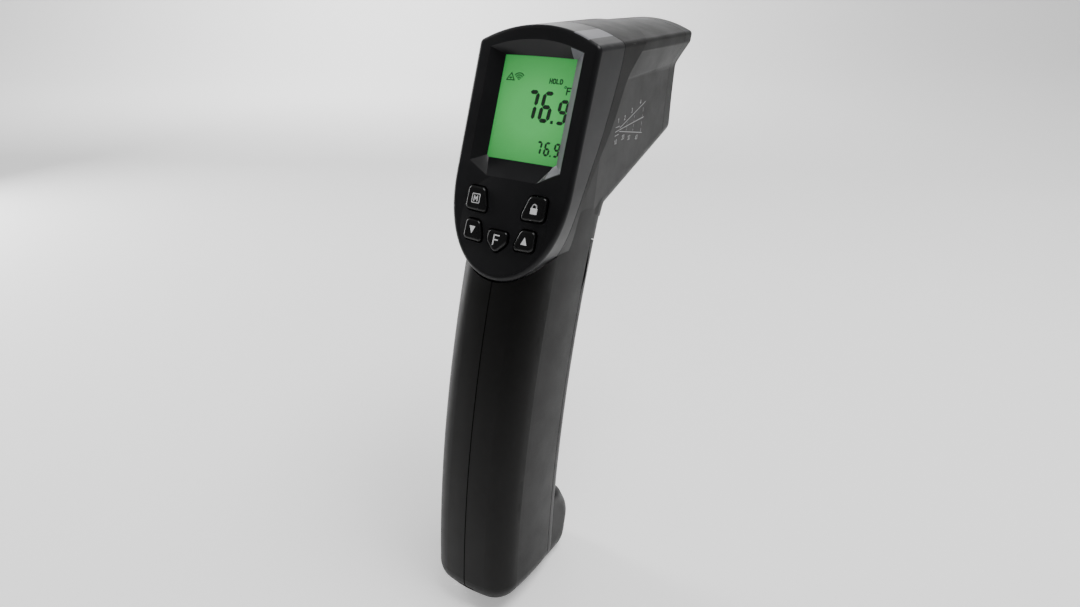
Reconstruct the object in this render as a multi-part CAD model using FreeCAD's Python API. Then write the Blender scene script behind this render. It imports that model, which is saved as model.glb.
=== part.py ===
import FreeCAD, Part
import math
import os
from FreeCAD import Placement, Rotation, Vector

# Hand-held infrared thermometer with a raked pistol grip.
#
# Frame: X to the right of the person who holds it, +Y forward along the line of
# sight, +Z up, millimetres.  The origin is the mouth of the tripod bush, on the
# grip's centreline in the base.  Two local frames place almost everything:
#   display frame: u right, d into the head, v up along the tilted display face,
#                  with its zero at the top middle of the display;
#   grip frame:    x right, f forward, h up along the grip's curved centreline.

# ---- mouldings -------------------------------------------------------------
WALL = 2.2              # wall of every outer moulding
SEAM = 0.3              # line left between two mouldings
LIP_SLOPE = [(26.6, -0.6), (24.6, 0.0), (21.6, 2.4), (17.0, 4.4), (10.0, 5.4)]   # the lip's edge:
# distance from the middle, run forward from its side line
EDGE = 1.8              # radius on the display housing's outer rim

# ---- display face ----------------------------------------------------------
DATUM = Vector(0, 32.2, 219.5)   # top middle of the display, in the part's frame
FACE_TILT = 22.0                 # the face leans forward by this, from upright
HEAD_HALF = 25.9                 # half width of the head at the display
HEAD_SLOPE = -0.013              # the head's top falls this much per mm forward
RIM_CORNER_Z = 4.5               # height of the head's top corners over the datum
ARCH_RISE = 11.5                 # rise of the top's vertex before rounding
HOUSING_CORNER = 2.4             # radius of the outline's top corners
BOWL_TOP = -42.6                 # height where the round foot starts
BOWL_DEPTH = 34.4                # how far the round foot reaches below that
BOWL_DRAFT = 0.25                # the foot falls this much per mm forward of the face

DISPLAY_HALF = 15.4              # visible display: half width, top, bottom, depth
DISPLAY_TOP = 1.3
DISPLAY_BOTTOM = -37.2
DISPLAY_DEPTH = 4.2
RECESS_HALF = 20.0               # outer edge of the recess round the display
RECESS_TOP = 2.8
RECESS_ARCH = 6.4
RECESS_SIDE_BOTTOM = -39.8
RECESS_BOTTOM = -44.5
RECESS_CHAMFER = 9.0

# ---- barrel ----------------------------------------------------------------
BARREL_REAR = -32.0              # stations along Y from the datum
BARREL_MIDDLE = 12.0
NOSE_SEAM = 83.4
BARREL_FRONT = 98.0
NOSE_HALF = 23.8                 # half width of the brim at the nose
NOSE_RISE = 10.0
BRIM = 4.2                       # height of the brim's upright edge
BRIM_COVE = 9.5                  # how far below the brim its cove ends
CHEEK_REAR = 24.6                # half width of the side wall under the cove
CHEEK_NOSE = 18.7
KEEL_REAR = 19.2                 # half width of the side wall at its foot
KEEL_NOSE = 17.8
UNDERSIDE_AT_NOSE = -43.4        # underside height at UNDERSIDE_Y
UNDERSIDE_Y = 86.0
UNDERSIDE_SLOPE = 0.27
KEEL_RADIUS = 6.0
NOSE_FACE = 91.6                 # front of the nose below the brim
BRIM_REACH = 2.8                 # the brim reaches this much further forward

# ---- grip ------------------------------------------------------------------
GRIP_RADIUS = 490.5              # radius of the grip's centreline
BASE_RAKE = 3.25                 # rake of the centreline at the base, degrees
GRIP_TOP_RAKE = 24.6
GRIP_HALF = 20.0                 # half width of the grip
GRIP_FRONT = 22.9                # its front and back, from its centreline
GRIP_BACK = 26.2
GRIP_SIDE_BULGE = 1.2
GRIP_END_BULGE = 2.4
GRIP_FRONT_CORNER = 11.6
GRIP_BACK_CORNER = 11.6
GRIP_LOW = -14.0                 # the form runs on below the base before trimming
BASE_TILT = 7.0                  # the base falls towards the front by this
NECK_RADIUS = 15.0               # concave bend from the grip's front to the barrel

# ---- keypad ----------------------------------------------------------------
FRONT_WALL = 2.4                 # front wall of the display housing
PAD_V = -61.5                    # centre, radius and rise of the crowned keypad
PAD_RADIUS = 19.6
PAD_RISE = 1.0
KEY_GAP = 0.7                    # moat round each key
KEY_EDGE = 1.0                   # radius round each key's top
KEY_FLANGE = 1.2                 # flange that keeps each key behind the face
KEY_PROUD = 1.3                  # keys stand out of the crowned face by this

# ---- battery door ----------------------------------------------------------
DOOR_LINE = 10.6                 # the door is the grip forward of this line
DOOR_TOP = 158.0                 # height of the door's top along the centreline
HEEL = [(19.6, 40.5, 0.0), (24.2, 35.0, 0.0), (29.2, 30.0, 0.0), (33.2, 23.0, 0.0), (34.6, 17.0, 0.0),
        (33.6, 10.5, 0.0), (32.6, 6.0, 0.1), (31.4, 3.0, 0.9), (29.8, 1.2, 2.5),
        (27.4, -0.4, 5.0)]   # f, h and side inset of the bulge for the little finger
HEEL_INSET = 1.6        # its sides from the grip's
HEEL_CORNER = 8.0
NOTCH = (136.0, 154.0, 1.7)      # finger notch in the door's seam: from h, to h, width
FLOOR = 5.2                      # thickness of the base
BASE_EDGE = 10.0                  # radius round the base
HINGE_Z = 1.8                    # door hinge above the base
HINGE_PIN = 0.75
HINGE_BARREL = 1.8
HINGE_END = 13.6                 # half length of its pin
HINGE_HALF = 11.0                # half width of the door's own hinge barrel
HINGE_RELIEF = 2.7               # the shells stay this far from the hinge's axis
HINGE_LUG = (11.5, 13.8)         # lugs on the shells, from and to this far off the middle

# ---- trigger ---------------------------------------------------------------
TRIGGER_HALF = 6.6
TRIGGER_SLOT_HALF = 7.2
TRIGGER_PIVOT = (22.5, -55.5)    # Y and Z from the datum
TRIGGER_FRONT = [(29.0, -53.5), (36.4, -60.0), (35.2, -69.0), (32.2, -79.0), (30.6, -87.0),
                 (30.8, -94.0)]  # finger side, Y and Z from the datum
TRIGGER_BACK = [(27.0, -97.0), (17.6, -95.5), (15.8, -84.0), (16.4, -66.0), (18.4, -53.5)]
PIVOT_RADIUS = 1.5
TRIGGER_FIT = 0.05               # radial play of the trigger on its pin

# ---- case details ----------------------------------------------------------
NECK_CORNER = 12.0
NOSE_DEPTH = 8.2                 # length of the nose cap
STRAP_WIDTH = 8.4
STRAP_GAP = 2.2
SCREW_SEAT = 13.0                # screw heads sit this far left of the middle
SCREW_REACH = 9.0
BATTERY_H = 47.0                 # middle of the battery, up the grip
BATTERY_BACK = 0.2               # back of the battery, forward of the centreline

# ---- bought-in pieces ------------------------------------------------------
BATTERY = (26.5, 17.5, 46.4)     # PP3 block: width, depth, height to the terminals
BUSH_RADIUS = 3.175              # 1/4 inch camera thread
BUSH_OUTER = 5.0
BUSH_LENGTH = 9.0
LENS_RADIUS = 10.5
TUBE_RADIUS = 12.2
LASER_RADIUS = 3.4
LENS_Z = -21.0                   # optical axis below the datum
LASER_Z = -3.0                   # laser axis below the datum
SCREW_RADIUS = 1.3
SCREW_HEAD = 2.6
SCREW_HEAD_HEIGHT = 2.0
BOSS_RADIUS = 3.2
POST_RADIUS = 2.0                # posts behind the display face that carry the board

CENTRE = Vector(0, GRIP_RADIUS * math.cos(math.radians(BASE_RAKE)),
                -GRIP_RADIUS * math.sin(math.radians(BASE_RAKE)))
X_AXIS = Vector(1, 0, 0)
FOOT_Y = (BOWL_TOP - BOWL_DEPTH) * math.tan(math.radians(FACE_TILT))   # foot of the display face
FAR = 80.0                       # larger than anything a cutting block has to pass

parts = {}


# ---- frames and small helpers ----------------------------------------------
def at(x, y, z):
    """A point given from the display datum, in the part's own directions."""
    return DATUM + Vector(x, y, z)


def display_frame():
    return Placement(DATUM, Rotation(X_AXIS, -FACE_TILT))


def grip_frame(h):
    """Frame on the grip's centreline, h along it from the base."""
    rake = math.radians(BASE_RAKE) + h / GRIP_RADIUS
    spot = CENTRE + Vector(0, -GRIP_RADIUS * math.cos(rake), GRIP_RADIUS * math.sin(rake))
    return Placement(spot, Rotation(X_AXIS, -math.degrees(rake)))


def base_frame():
    return Placement(Vector(0, 0, 0), Rotation(X_AXIS, -BASE_TILT))


def block(x, y, z, frame=None, corner=0.0, along="z"):
    """A box from pairs of limits, with the edges along one axis rounded."""
    solid = Part.makeBox(x[1] - x[0], y[1] - y[0], z[1] - z[0], Vector(x[0], y[0], z[0]))
    if corner:
        index = "xyz".index(along)
        edges = [e for e in solid.Edges
                 if abs(abs(e.tangentAt(e.FirstParameter)[index]) - 1) < 1e-6]
        solid = solid.makeFillet(corner, edges)
    if frame is not None:
        solid.Placement = frame.multiply(solid.Placement)
    return solid


def rod(radius, start, end):
    """A cylinder between two points."""
    run = end - start
    return Part.makeCylinder(radius, run.Length, start, run)


def ring(outer, inner, start, end):
    return rod(outer, start, end).cut(rod(inner, start, end))


def placed(shape, frame):
    copy = shape.copy()
    copy.Placement = frame.multiply(copy.Placement)
    return copy


def rounded_wire(points, radii):
    """A closed wire of straight runs with an arc of its own radius at each point."""
    count = len(points)
    edges = []
    ends = []
    for i, corner in enumerate(points):
        to_last = (points[i - 1] - corner).normalize()
        to_next = (points[(i + 1) % count] - corner).normalize()
        half = to_last.getAngle(to_next) / 2
        reach = radii[i] / math.tan(half)
        middle = (to_last + to_next).normalize()
        sagitta = radii[i] / math.sin(half) - radii[i]
        ends.append((corner + to_last * reach, corner + middle * sagitta, corner + to_next * reach))
    for i, (start, middle, end) in enumerate(ends):
        edges.append(Part.Arc(start, middle, end).toShape())
        edges.append(Part.LineSegment(end, ends[(i + 1) % count][0]).toShape())
    return Part.Wire(edges)


def mirrored(points):
    """Right-hand points, top to bottom, joined with their mirror images."""
    left = [Vector(-p.x, p.y, p.z) for p in reversed(points) if abs(p.x) > 1e-6]
    return points + left


def solid_from(wire, direction):
    return Part.Face(wire).extrude(direction)


def side_wire(points, x):
    """A line drawn in the YZ plane, closed far behind it, at one x."""
    spots = [at(x, y, z) for y, z in points]
    spline = Part.BSplineCurve()
    spline.interpolate(spots)
    low = Vector(x, -4 * FAR, spots[-1].z)
    high = Vector(x, -4 * FAR, spots[0].z)
    back = [Part.LineSegment(spots[-1], low).toShape(), Part.LineSegment(low, high).toShape(),
            Part.LineSegment(high, spots[0]).toShape()]
    return Part.Wire([spline.toShape()] + back)


def side_block(points):
    """Everything behind a line drawn in the YZ plane, as a block across the head."""
    return solid_from(side_wire(points, -FAR), Vector(2 * FAR, 0, 0))


# ---- outer form ------------------------------------------------------------
def underside(y):
    return UNDERSIDE_AT_NOSE - UNDERSIDE_SLOPE * (UNDERSIDE_Y - y)


def barrel_section(y, inset):
    """Closed outline of the barrel across the line of sight."""
    share = max(0.0, (y - BARREL_MIDDLE) / (NOSE_SEAM - BARREL_MIDDLE))
    top_half = HEAD_HALF + (NOSE_HALF - HEAD_HALF) * share
    rise = ARCH_RISE + (NOSE_RISE - ARCH_RISE) * share
    corner_z = RIM_CORNER_Z + HEAD_SLOPE * y
    cheek = CHEEK_REAR + (CHEEK_NOSE - CHEEK_REAR) * share
    keel = KEEL_REAR + (KEEL_NOSE - KEEL_REAR) * share
    floor = underside(max(y, BARREL_MIDDLE))
    right = [
        at(0, y, corner_z + rise - 0.1 - inset),
        at(top_half - inset, y, corner_z - 0.05 - inset * 0.6),
        at(top_half - 0.1 - inset, y, corner_z - BRIM),
        at(cheek - inset, y, corner_z - BRIM - BRIM_COVE),
        at(keel - inset, y, floor + inset),
    ]
    slope = math.atan2(right[0].z - right[1].z, right[1].x)
    run = (right[0] - right[1]).Length
    arch = 0.86 * run / math.tan(slope)
    keel_radius = KEEL_RADIUS - inset
    radii = [arch, 1.8, 2.0, 6.0, keel_radius, keel_radius, 6.0, 2.0, 1.8]
    return rounded_wire(mirrored(right), radii)


def barrel(inset=0.0):
    rear = BARREL_REAR
    spans = [(rear, BARREL_MIDDLE), (BARREL_MIDDLE, NOSE_SEAM), (NOSE_SEAM, BARREL_FRONT)]
    solids = [Part.makeLoft([barrel_section(a, inset), barrel_section(b, inset)], True, True)
              for a, b in spans]
    return solids[0].fuse(solids[1:]).removeSplitter()


def housing_outline(y, inset):
    """Outline of the display housing across the line of sight, arched above and bowl-shaped below."""
    corner_z = RIM_CORNER_Z + HEAD_SLOPE * y
    vertex = at(0, y, corner_z + ARCH_RISE - inset)
    corner = at(HEAD_HALF - inset, y, corner_z - 0.6 * inset)
    side_end = at(HEAD_HALF - inset, y, BOWL_TOP)
    to_vertex = (vertex - corner).normalize()
    down = (side_end - corner).normalize()
    slope = math.atan2(to_vertex.z, -to_vertex.x)
    arch_end = vertex - to_vertex * (0.86 * (vertex - corner).Length)
    arch_radius = (vertex - arch_end).Length / math.tan(slope)
    crown = vertex + Vector(0, 0, arch_radius - arch_radius / math.cos(slope))
    half_angle = to_vertex.getAngle(down) / 2
    reach = HOUSING_CORNER / math.tan(half_angle)
    inward = (to_vertex + down).normalize()
    knee = corner + inward * (HOUSING_CORNER / math.sin(half_angle) - HOUSING_CORNER)
    right = [Part.LineSegment(arch_end, corner + to_vertex * reach).toShape(),
             Part.Arc(corner + to_vertex * reach, knee, corner + down * reach).toShape(),
             Part.LineSegment(corner + down * reach, side_end).toShape()]
    left = [edge.mirror(Vector(0, 0, 0), X_AXIS) for edge in right]
    arch = Part.Arc(Vector(-arch_end.x, arch_end.y, arch_end.z), crown, arch_end).toShape()
    foot_z = BOWL_TOP - BOWL_DEPTH - BOWL_DRAFT * (y - FOOT_Y)
    foot = at(0, y, foot_z + inset)
    bowl = Part.Ellipse(foot, side_end, at(0, y, BOWL_TOP))
    lowest = bowl.parameter(foot)
    bottom = Part.Arc(bowl, lowest - math.pi / 2, lowest + math.pi / 2).toShape()
    return Part.Wire(Part.__sortEdges__([arch] + right + left + [bottom]))


def housing_prism(inset=0.0):
    """The display housing's form, run forward through the head."""
    return Part.makeLoft([housing_outline(y, inset) for y in (-45.0, 60.0)], True, True)


def grip_section(inset):
    """Rounded outline of the grip, with slightly crowned sides and ends."""
    lift = 4.0 / 3.0
    x = GRIP_HALF - inset - GRIP_SIDE_BULGE
    front = GRIP_FRONT - inset - GRIP_END_BULGE
    back = GRIP_BACK - inset - GRIP_END_BULGE
    middle = (front - back) / 2
    side_x = x + lift * GRIP_SIDE_BULGE
    points = [Vector(0, front + lift * GRIP_END_BULGE, 0), Vector(x, front, 0), Vector(side_x, middle, 0),
              Vector(x, -back, 0), Vector(0, -back - lift * GRIP_END_BULGE, 0), Vector(-x, -back, 0),
              Vector(-side_x, middle, 0), Vector(-x, front, 0)]

    def crown(half_run, rise):
        return math.hypot(half_run, rise) / 2 * half_run / rise

    end = crown(x, lift * GRIP_END_BULGE)
    side = crown(front - middle, lift * GRIP_SIDE_BULGE)
    front_corner, back_corner = GRIP_FRONT_CORNER - inset, GRIP_BACK_CORNER - inset
    return rounded_wire(points, [end, front_corner, side, back_corner, end, back_corner, side, front_corner])


def grip(inset=0.0, low=GRIP_LOW):
    """The grip, turned about the centre of its curved centreline."""
    face = Part.Face(grip_section(inset))
    face.Placement = grip_frame(low)
    low_rake = BASE_RAKE + math.degrees(low / GRIP_RADIUS)
    return face.revolve(CENTRE, Vector(-1, 0, 0), GRIP_TOP_RAKE - low_rake)


def neck(inset=0.0):
    """The concave bend that carries the grip's front into the barrel's underside."""
    run = Vector(0, 1, UNDERSIDE_SLOPE).normalize()
    down = Vector(0, run.z, -run.y)
    anchor = at(0, UNDERSIDE_Y, UNDERSIDE_AT_NOSE) + down * NECK_RADIUS
    reach = GRIP_RADIUS - GRIP_FRONT - NECK_RADIUS
    offset = anchor - CENTRE
    along = offset.dot(run)
    travel = -along - math.sqrt(along * along - offset.dot(offset) + reach * reach)
    bend = anchor + run * travel
    to_grip = (bend - CENTRE).normalize()
    to_barrel = down * -1
    near = NECK_RADIUS + inset
    half = GRIP_HALF - 0.3 - inset
    far = NECK_RADIUS + 22.0
    turn = math.degrees(to_grip.getAngle(to_barrel))
    corner = NECK_CORNER - inset
    spots = [(half, near), (half, far), (-half, far), (-half, near)]
    points = [bend + to_barrel * r + Vector(x, 0, 0) for x, r in spots]
    wire = rounded_wire(points, [corner, 1.0, 1.0, corner])
    return Part.Face(wire).revolve(bend, X_AXIS, turn)


def seam_line(shift=0.0):
    """Side view of the joint between the display housing and the shells."""
    points = [(22.0, 16.0), (20.6, 1.0), (12.9, -14.7), (3.2, -30.0), (-5.4, -41.5), (-11.6, -52.0),
              (-14.4, -63.0), (-16.0, -74.0), (-18.0, -92.0)]
    return side_block([(y + shift, z) for y, z in points])


def lip_block():
    """The raised lip that the shells carry just forward of that joint, with a sloping outer edge."""
    points = [(48.0, 16.0), (36.2, -0.4), (25.5, -8.4), (17.6, -19.7), (10.2, -28.8), (2.8, -36.6),
              (-3.0, -43.4), (-7.2, -50.0), (-9.6, -58.0), (-10.6, -66.0), (-11.4, -76.0), (-12.0, -92.0)]
    stations = [(-x, run) for x, run in LIP_SLOPE] + LIP_SLOPE[::-1]
    wires = [side_wire([(y + run, z) for y, z in points], x) for x, run in stations]
    return Part.makeLoft(wires, True, False)


def nose_line(back):
    """Side view of the nose's front, set back by a distance."""
    face = NOSE_FACE - back
    points = [(face + BRIM_REACH, 18.0), (face + BRIM_REACH, 2.0), (face + 1.2, -4.0),
              (face, -10.0), (face, -70.0)]
    return side_block(points)


def before_face():
    """Everything in front of the display's face, towards the user."""
    return block((-FAR, FAR), (-2 * FAR, 0), (-2 * FAR, 2 * FAR), display_frame())


def above_base(height):
    return block((-FAR, FAR), (-FAR, 3 * FAR), (height, 4 * FAR), base_frame())


def grip_outside():
    """The grip with its rounded base."""
    body = grip().common(above_base(0.0))
    frame = base_frame().inverse()
    edges = [e for e in body.Edges
             if all(abs(frame.multVec(v.Point).z) < 1e-4 for v in e.Vertexes)]
    return body.makeFillet(BASE_EDGE, edges)


def door_zone(shift):
    """The part of the grip forward of the door's line and below its top."""
    drum = Part.makeCylinder(GRIP_RADIUS - DOOR_LINE - shift, 2 * FAR,
                             CENTRE - Vector(FAR, 0, 0), X_AXIS)
    window = block((-FAR, FAR), (-FAR, FAR), (-3 * FAR, -shift), grip_frame(DOOR_TOP))
    return drum.common(window)


def hinge_rod(radius, x_from, x_to):
    frame = base_frame()
    return rod(radius, frame.multVec(Vector(x_from, DOOR_LINE, HINGE_Z)),
               frame.multVec(Vector(x_to, DOOR_LINE, HINGE_Z)))


def trigger_slot():
    """Opening in the grip's front for the trigger, with room above for its hub."""
    span = (-TRIGGER_SLOT_HALF, TRIGGER_SLOT_HALF)
    lower = block(span, (11.0, 60.0), (-24.0, 16.0), grip_frame(DOOR_TOP - 6.0))
    upper = block(span, (15.0, 37.6), (-70.0, -50.4), Placement(DATUM, Rotation()))
    return lower.fuse(upper)


def finger_notch():
    """Lens-shaped gap at the top of the door's seam, right through both sides."""
    low, high, width = NOTCH
    middle = (low + high) / 2
    radius = ((high - low) ** 2 / 4 + width ** 2) / (2 * width)
    frame = grip_frame(middle)
    centre = frame.multVec(Vector(-FAR, DOOR_LINE - radius + width, 0))
    lens = Part.makeCylinder(radius, 2 * FAR, centre, X_AXIS)
    return lens.common(block((-FAR, FAR), (DOOR_LINE - 0.2, FAR), (-FAR, FAR), frame))


# ---- case ------------------------------------------------------------------
SCREWS = [("head", 46.0, 0.5), ("head", 71.0, -38.8), ("head", 2.0, -61.0),
          ("grip", -15.0, 96.0), ("grip", -15.0, 30.0)]


def screw_axis(kind, a, b):
    """A point on the middle plane where a case screw crosses it."""
    if kind == "head":
        return at(0, a, b)
    return grip_frame(b).multVec(Vector(0, a, 0))


def case_inside():
    """The hollow of the two shells."""
    hollow = barrel(WALL).fuse([grip(WALL), neck(WALL)])
    ledge = housing_prism(WALL + 1.4).common(seam_line(3.0)).cut(seam_line(-3.0))
    return hollow.fuse(ledge).common(above_base(FLOOR))


def case_ribs():
    """Walls, shelf and bosses that both shells carry."""
    span = (-GRIP_HALF - 1, GRIP_HALF + 1)
    head_span = (-HEAD_HALF, HEAD_HALF)
    upright = Placement(DATUM, Rotation())
    saddle = block(head_span, (70.0, 72.0), (-50.0, 4.0), upright).cut([
        rod(TUBE_RADIUS + 0.05, at(0, 60, LENS_Z), at(0, 80, LENS_Z)),
        rod(LASER_RADIUS + 0.05, at(0, 60, LASER_Z), at(0, 80, LASER_Z))])
    bay = grip_frame(BATTERY_H)
    low = -BATTERY[2] / 2
    ribs = [
        block(span, (BATTERY_BACK - 2.6, BATTERY_BACK - 0.8), (low - 2.4, -low + 9.0), bay),
        block(span, (BATTERY_BACK - 2.6, DOOR_LINE - 0.8), (low - 2.4, low - 0.6), bay),
        block(span, (4.6, 6.4), (-95.0, -84.5), upright),
        block(span, (1.8, 3.5), (-84.5, -70.0), upright),
        saddle,
        block(head_span, (43.4, 45.1), (-50.0, LENS_Z - 5.0), upright),
        Part.makeCylinder(BUSH_OUTER + 2.4, BUSH_LENGTH + 2.0, Vector(0, 0, 0),
                          base_frame().Rotation.multVec(Vector(0, 0, 1))),
    ]
    for kind, a, b in SCREWS:
        spot = screw_axis(kind, a, b)
        ribs.append(rod(BOSS_RADIUS, spot - Vector(30, 0, 0), spot + Vector(30, 0, 0)))
    for y in (-1, 1):
        ribs.append(rod(3.4, at(y * 6.9, *TRIGGER_PIVOT), at(y * 30, *TRIGGER_PIVOT)))
    return ribs[0].fuse(ribs[1:])


def hinge_lugs():
    """Ears on the shells' floor that hold the ends of the door's hinge pin."""
    ears = []
    for side in (-1, 1):
        x = sorted(side * reach for reach in HINGE_LUG)
        ear = hinge_rod(HINGE_BARREL, *x)
        web = block(x, (DOOR_LINE - 4.0, DOOR_LINE), (HINGE_Z - 1.5, HINGE_Z + 1.5), base_frame())
        ears.append(ear.fuse(web).common(grip_outside()))
    return ears


def case_body():
    """Both shells in one piece, before they are parted down the middle."""
    lip = housing_prism().common(lip_block())
    outside = barrel().fuse([grip_outside(), neck(), lip])
    outside = outside.cut([before_face(), door_zone(-SEAM / 2), hinge_rod(HINGE_RELIEF, -FAR, FAR)])
    housing = housing_prism(-SEAM).common(seam_line(SEAM / 2))
    nose = Part.makeBox(2 * FAR, FAR, FAR, at(-FAR, BARREL_FRONT / 2, -62.0)).cut(nose_line(NOSE_DEPTH))
    outside = outside.cut([housing, nose])
    walls = outside.cut(case_inside())
    ribs = case_ribs().common(outside).common(case_inside())
    body = walls.fuse([ribs] + hinge_lugs())
    bush = Part.makeCylinder(BUSH_OUTER, BUSH_LENGTH, Vector(0, 0, 0),
                             base_frame().Rotation.multVec(Vector(0, 0, 1)))
    cuts = [trigger_slot(), finger_notch(), bush, strap_slot(), hinge_rod(HINGE_PIN + 0.01, -FAR, FAR),
            rod(PIVOT_RADIUS, at(-FAR, *TRIGGER_PIVOT), at(FAR, *TRIGGER_PIVOT)).common(
                block((-11.0, 11.0), (-FAR, 3 * FAR), (0, 4 * FAR)))]
    for name in ("down_key", "up_key"):
        room = Part.Face(key_outline(name, KEY_FLANGE + 0.5, FRONT_WALL)).extrude(Vector(0, 3.0, 0))
        cuts.append(placed(room, display_frame()))
    for kind, a, b in SCREWS:
        spot = screw_axis(kind, a, b)
        cuts.append(rod(SCREW_RADIUS, spot - Vector(SCREW_SEAT, 0, 0), spot + Vector(SCREW_REACH, 0, 0)))
        cuts.append(rod(SCREW_HEAD + 0.2, spot - Vector(FAR, 0, 0), spot - Vector(SCREW_SEAT, 0, 0)))
    return body.cut(cuts)


def strap_slot():
    """A slot in the back of the foot that runs out through the base, for a wrist strap."""
    frame = grip_frame(0)
    half = STRAP_WIDTH / 2
    through_back = block((-half, half), (-40.0, -GRIP_BACK + 7.0), (5.0, 5.0 + STRAP_GAP), frame)
    through_base = block((-half, half), (-GRIP_BACK + 4.4, -GRIP_BACK + 7.0),
                         (-20.0, 5.0 + STRAP_GAP), frame)
    return through_back.fuse(through_base)


def make_shells():
    body = case_body()
    half = Part.makeBox(FAR, 4 * FAR, 5 * FAR, Vector(SEAM / 6, -FAR, -FAR))
    parts["right_shell"] = largest(body.common(half))
    parts["left_shell"] = largest(body.common(half.mirror(Vector(0, 0, 0), X_AXIS)))


def largest(shape):
    return max(shape.Solids, key=lambda solid: solid.Volume)


def make_case_screws():
    screws = []
    for kind, a, b in SCREWS:
        spot = screw_axis(kind, a, b)
        seat = spot - Vector(SCREW_SEAT, 0, 0)
        face = seat - Vector(SCREW_HEAD_HEIGHT, 0, 0)
        head = rod(SCREW_HEAD, face, seat)
        shank = rod(SCREW_RADIUS - 0.05, seat, spot + Vector(SCREW_REACH - 0.5, 0, 0))
        upright = block((-1.0, 1.2), (-0.35, 0.35), (-1.5, 1.5), Placement(face, Rotation()))
        level = block((-1.0, 1.2), (-1.5, 1.5), (-0.35, 0.35), Placement(face, Rotation()))
        screws.append(head.fuse(shank).cut([upright, level]))
    parts["case_screws"] = Part.makeCompound(screws)


# ---- display housing -------------------------------------------------------
def display_outline(half, top, crown, side_bottom, bottom, chamfer, d):
    """Arched outline with cut lower corners, in the display frame at depth d."""
    arch = Part.Arc(Vector(-half, d, top), Vector(0, d, crown), Vector(half, d, top)).toShape()
    corners = [Vector(half, d, top), Vector(half, d, side_bottom), Vector(half - chamfer, d, bottom),
               Vector(chamfer - half, d, bottom), Vector(-half, d, side_bottom), Vector(-half, d, top)]
    runs = [Part.LineSegment(a, b).toShape() for a, b in zip(corners, corners[1:])]
    return Part.Wire([arch] + runs)


def recess():
    """The funnel that leads down to the display."""
    rim = display_outline(RECESS_HALF, RECESS_TOP, RECESS_ARCH, RECESS_SIDE_BOTTOM,
                          RECESS_BOTTOM, RECESS_CHAMFER, 0)
    floor = display_outline(DISPLAY_HALF, DISPLAY_TOP, DISPLAY_TOP + 0.2, DISPLAY_BOTTOM + 0.8,
                            DISPLAY_BOTTOM, 0.8, DISPLAY_DEPTH)
    funnel = Part.makeLoft([rim, floor], True, True)
    mouth = Part.Face(rim).extrude(Vector(0, -5, 0))
    well = Part.Face(floor).extrude(Vector(0, 8, 0))
    return placed(funnel.fuse([mouth, well]), display_frame())


BOARD_POSTS = [(-14.9, -43.6), (14.9, -43.6), (0.0, -56.5)]

KEYS = {
    "mode_key": (-12.6, -53.7),
    "lock_key": (13.3, -53.6),
    "down_key": (-11.6, -65.5),
    "up_key": (12.0, -65.6),
    "function_key": (0.0, -67.4),
}


def key_outline(name, grow, d):
    """Outline of one key about its own centre, grown all round."""
    if name == "function_key":
        shape = [(4.4, 3.6), (4.4, -0.8), (0, -5.0), (-4.4, -0.8), (-4.4, 3.6)]
        radii = [1.6, 3.2, 1.8, 3.2, 1.6]
    else:
        scale = 1.0 if name in ("mode_key", "lock_key") else 0.86
        side = 1 if KEYS[name][0] > 0 else -1
        shape = [(4.3, 4.7), (4.5, -4.3), (-5.0, -4.7), (-5.2, -2.2), (-2.9, 4.6)]
        shape = [(x * scale * side, z * scale) for x, z in shape]
        radii = [1.7, 1.9, 1.2, 2.6, 2.2]
        if side < 0:
            shape, radii = shape[::-1], radii[::-1]
    u, v = KEYS[name]
    points = []
    for x, z in shape:
        reach = math.hypot(x, z)
        stretch = (reach + grow) / reach
        points.append(Vector(u + x * stretch, d, v + z * stretch))
    return rounded_wire(points, [r + grow * 0.5 for r in radii])


def post(u, v, radius, start, end):
    """A round post or hole square to the display face, in the display frame."""
    return rod(radius, Vector(u, start, v), Vector(u, end, v))


def press_point(name):
    """Where a key's stem meets its dome, a little nearer the middle than the cap."""
    u, v = KEYS[name]
    return 0.86 * u, v + 1.6


def pad_height(u, v):
    """How far the crowned keypad stands out of the face at a point."""
    ball = (PAD_RADIUS ** 2 + PAD_RISE ** 2) / (2 * PAD_RISE)
    across = math.hypot(u, v - PAD_V)
    return max(0.0, math.sqrt(ball ** 2 - across ** 2) - (ball - PAD_RISE))


def keypad_crown():
    ball = (PAD_RADIUS ** 2 + PAD_RISE ** 2) / (2 * PAD_RISE)
    sphere = Part.makeSphere(ball, Vector(0, ball - PAD_RISE, PAD_V))
    disc = Part.makeCylinder(PAD_RADIUS - 0.6, PAD_RISE + 2.1, Vector(0, -PAD_RISE - 0.1, PAD_V),
                             Vector(0, 1, 0))
    return placed(sphere.common(disc), display_frame())


def make_rear_bezel():
    outside = housing_prism().common(seam_line(-SEAM / 2)).cut(before_face())
    frame = display_frame().inverse()
    rim = [e for e in outside.Edges
           if all(abs(frame.multVec(v.Point).y) < 1e-4 for v in e.Vertexes)]
    outside = outside.makeFillet(EDGE, rim)
    hollow = housing_prism(WALL).common(
        block((-FAR, FAR), (FRONT_WALL, FAR), (-2 * FAR, FAR), display_frame()))
    seat = block((-21.6, 21.6), (0.5, 6.0), (-46.5, 7.5), display_frame())
    posts = [placed(post(u, v, POST_RADIUS, 1.0, 10.75), display_frame()) for u, v in BOARD_POSTS]
    body = outside.cut(hollow).fuse([seat.common(outside), keypad_crown()] + posts)
    cuts = [recess(), block((-17.0, 17.0), (DISPLAY_DEPTH, 7.0), (-38.8, 2.9), display_frame())]
    cuts += [placed(post(u, v, 0.95, 6.0, 12.0), display_frame()) for u, v in BOARD_POSTS]
    for name in KEYS:
        hole = Part.Face(key_outline(name, KEY_GAP, -5.0)).extrude(Vector(0, 12, 0))
        cuts.append(placed(hole, display_frame()))
    parts["rear_bezel"] = largest(body.cut(cuts))


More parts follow.
